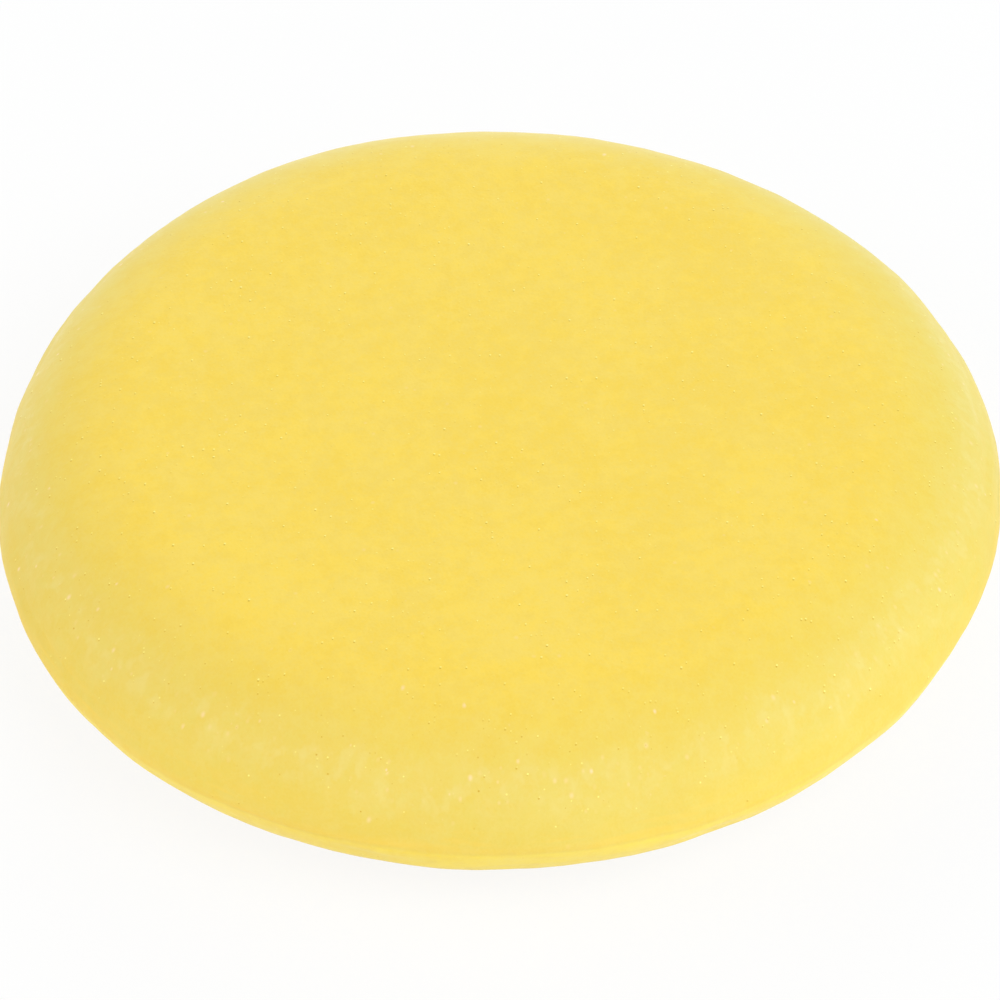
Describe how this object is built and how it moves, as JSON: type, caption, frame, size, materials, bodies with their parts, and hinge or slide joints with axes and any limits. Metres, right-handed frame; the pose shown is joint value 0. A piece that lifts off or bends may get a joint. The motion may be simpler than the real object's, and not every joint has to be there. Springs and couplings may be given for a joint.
{
  "type": "wax applicator pad",
  "caption": "Round soft foam wax applicator pad with flat faces and a wide rounded rim that meets in a faint pinch line half way up its wall.",
  "frame": {"origin": "centre of the flat face that the pad rests on", "axes": "+Z through the pad's thickness, up out of the face that meets the palm; the pad is round about Z, so X and Y are equal"},
  "size_m": [0.1, 0.1, 0.021],
  "materials": {
    "foam": "soft fine-celled polyurethane foam, matt, with a few bright cell walls"
  },
  "bodies": {
    "root": {"foam_pad": "foam"}
  },
  "joints": []
}
